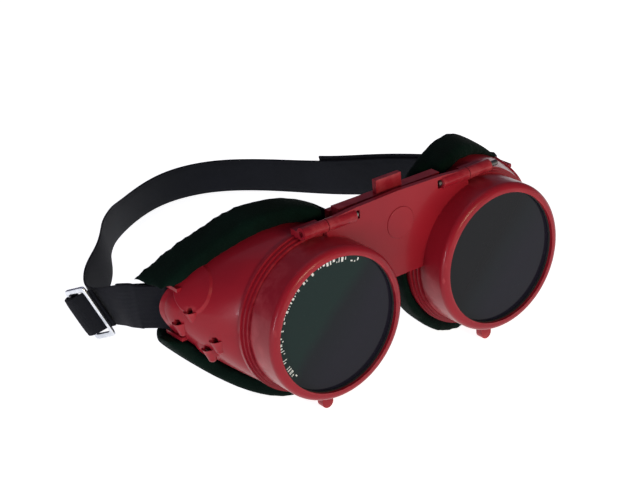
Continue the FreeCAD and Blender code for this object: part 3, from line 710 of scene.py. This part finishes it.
def webbing():
    """Woven elastic: warp ribs along the run, weft ridges across it with painted shade in their hollows,
    lint and a faint sheen.
    """
    shader = Shader("webbing")
    uv = shader.node("ShaderNodeSeparateXYZ", Vector=shader.coordinates.outputs["UV"])
    run, across = uv.outputs["X"], uv.outputs["Y"]
    ribs = shader.math("SINE", shader.math("MULTIPLY", across, 2 * math.pi / RIB_PITCH))
    weft = shader.math("SINE", shader.math("MULTIPLY", run, 2 * math.pi / WEFT_PITCH))
    flip = shader.math("SIGN", ribs)
    weave = shader.math("MULTIPLY_ADD", shader.math("MULTIPLY", weft, flip), 0.5, 0.5)
    crossing = shader.math("MULTIPLY", weave, 0.4)
    height = shader.math("MULTIPLY_ADD", shader.math("ABSOLUTE", ribs), 0.6, crossing)
    fuzz = shader.noise(2400, 3)
    # painted shade: the colour is darker where the weave is low, in the hollows between ribs and ridges
    base = shader.ramp(height, (0.1, (0.0020, 0.0028, 0.0045)), (0.9, (0.0060, 0.0075, 0.0120)))
    lint = shader.ramp(shader.noise(900, 5), (0.66, 0.0), (0.76, 1.0))
    base = shader.mix(shader.math("MULTIPLY", lint, 0.06), base, (0.2, 0.21, 0.24))
    fade = shader.ramp(shader.noise(30, 3), (0.4, 0.0), (0.7, 1.0))
    base = shader.mix(shader.math("MULTIPLY", fade, 0.25), base, (0.008, 0.010, 0.017))
    shader.colour(base)
    shader.roughness(fuzz, 0.72, 0.92)
    shader.bump((height, 0.55, 0.0003), (fuzz, 0.25, 0.0001))
    shader.set(Sheen_Weight=0.02, Sheen_Roughness=0.5, Specular_IOR_Level=0.16)
    return shader.material


def thread():
    """Twisted sewing thread: slanting strands a quarter of a millimetre apart."""
    shader = Shader("thread")
    strands = shader.noise(3800, 2, shader.mapped(scale=(1, 1, 0.3), turn=(0.6, 0.4, 0)))
    shader.colour(shader.ramp(strands, (0.3, (0.010, 0.011, 0.016)), (0.7, (0.03, 0.033, 0.045))))
    shader.roughness(strands, 0.55, 0.8)
    shader.bump((strands, 0.5, 0.00008))
    shader.set(Sheen_Weight=0.2)
    return shader.material


def cushion_cover():
    """Very dark green-black soft cover: short nap lying in patches over fine knitted cells."""
    shader = Shader("cushion_cover")
    nap = shader.noise(2100, 4)
    lay = shader.noise(90, 4)
    cells = shader.node("ShaderNodeTexVoronoi", Scale=1500, Vector=shader.mapped())
    base = shader.ramp(lay, (0.3, (0.0006, 0.0044, 0.0028)), (0.72, (0.0012, 0.0090, 0.0058)))
    tips = shader.ramp(nap, (0.55, 0.0), (0.75, 1.0))
    base = shader.mix(shader.math("MULTIPLY", tips, 0.30), base, (0.003, 0.010, 0.007))
    shader.colour(base)
    shader.roughness(nap, 0.82, 0.98)
    shader.bump((lay, 0.18, 0.0012), (cells.outputs["Distance"], 0.3, 0.0003), (nap, 0.5, 0.0002))
    shader.set(Sheen_Weight=0.01, Sheen_Roughness=0.6, Specular_IOR_Level=0.05)
    return shader.material


def bright_steel():
    """Plated steel, rubbed along its bars, with tiny pits and dulled patches."""
    shader = Shader("bright_steel")
    marks = shader.noise(1500, 2, shader.mapped(scale=(1, 1, 0.12), turn=(0.3, 0.35, 0)))
    dull = shader.noise(260, 4)
    pits = shader.ramp(shader.noise(2200, 2), (0.68, 0.0), (0.76, 1.0))
    base = shader.ramp(dull, (0.35, (0.52, 0.55, 0.60)), (0.6, (0.74, 0.77, 0.82)))
    shader.colour(shader.mix(shader.math("MULTIPLY", pits, 0.4), base, (0.22, 0.22, 0.24)))
    shader.roughness(marks, 0.18, 0.36)
    shader.bump((marks, 0.10, 0.0001), (pits, 0.15, 0.0001))
    shader.set(Metallic=1.0)
    return shader.material


def white_print():
    """Fired white print, thin and a little broken up."""
    shader = Shader("white_print")
    worn = shader.noise(1400, 4)
    shader.colour(shader.ramp(worn, (0.32, (0.22, 0.24, 0.25)), (0.5, (0.62, 0.65, 0.66))))
    shader.roughness(worn, 0.45, 0.7)
    shader.bump((worn, 0.2, 0.00005))
    return shader.material


# ---------------------------------------------------------------- camera, light and floor
CAMERA_TURNS = (-0.617177, 0.434182, -0.072847)      # azimuth, elevation and roll
CAMERA_PLACE = (-0.33970, -0.41831 + LIPS_Y, 0.26662)
CAMERA_LENS = 104.37                       # mm, over a sensor 36 mm wide
LIGHTS = [                                 # name, place, size, watts, colour
    ("side_softbox", (-0.75, -0.40, 0.05), (0.09, 0.26), 1.9, (1, 0.86, 0.95)),
    ("front_softbox", (0.10, -0.95, 0.30), (0.30, 0.18), 4.2, (1, 0.90, 0.60)),
    ("top_softbox", (0.0, 0.30, 0.9), (0.8, 0.8), 0.8, (0.78, 0.78, 1.0)),
]
WORLD_COLOUR = (0.76, 0.74, 1.0, 1)
WORLD_STRENGTH = 0.16
FLOOR_HALF = 3.0                           # metres
FLOOR_GLOW = 0.92


def camera():
    """The camera's axes come from its azimuth and elevation, then turn by its roll."""
    azimuth, elevation, roll = CAMERA_TURNS
    back = Vector((math.sin(azimuth) * math.cos(elevation), -math.cos(azimuth) * math.cos(elevation),
                   math.sin(elevation)))
    level = Vector((math.cos(azimuth), math.sin(azimuth), 0))
    upright = back.cross(level)
    right = level * math.cos(roll) + upright * math.sin(roll)
    up = upright * math.cos(roll) - level * math.sin(roll)
    place = Matrix.Identity(4)
    for column, axis in enumerate((right, up, back)):
        for row in range(3):
            place[row][column] = axis[row]
    place.translation = Vector(CAMERA_PLACE)
    data = bpy.data.cameras.new("camera")
    data.lens = CAMERA_LENS
    data.sensor_width = 36
    data.clip_start = 0.01
    made = linked("camera", data)
    made.matrix_world = place
    bpy.context.scene.camera = made


def softbox(name, place, size, watts, colour):
    """A rectangular light that faces the origin."""
    data = bpy.data.lights.new(name, "AREA")
    data.shape = "RECTANGLE"
    data.size, data.size_y = size
    data.energy = watts
    data.color = colour
    made = linked(name, data)
    made.location = place
    made.rotation_euler = Vector(place).to_track_quat("Z", "Y").to_euler()


def lights():
    """Three softboxes and a weak surround."""
    for row in LIGHTS:
        softbox(*row)
    world = bpy.data.worlds.new("studio")
    bpy.context.scene.world = world
    world.use_nodes = True
    surround = world.node_tree.nodes["Background"].inputs
    surround["Color"].default_value = WORLD_COLOUR
    surround["Strength"].default_value = WORLD_STRENGTH
    bpy.context.scene.view_settings.view_transform = "Standard"


def floor():
    """A square under the goggles, which glows so that it shows white."""
    mesh = bpy.data.meshes.new("floor")
    corners = [(x * FLOOR_HALF, y * FLOOR_HALF, FLOOR_Z) for x, y in ((-1, -1), (1, -1), (1, 1), (-1, 1))]
    mesh.from_pydata(corners, [], [(0, 1, 2, 3)])
    made = linked("floor", mesh)
    shader = Shader("pale_floor")
    grain = shader.noise(60, 3)
    shader.colour(shader.ramp(grain, (0.3, 0.86), (0.7, 0.89)))
    shader.roughness(grain, 0.7, 0.8)
    shader.set(Emission_Color=(1, 1, 1, 1), Emission_Strength=FLOOR_GLOW)
    mesh.materials.append(shader.material)


finish_hard_parts()
soft_parts()
camera()
lights()
floor()
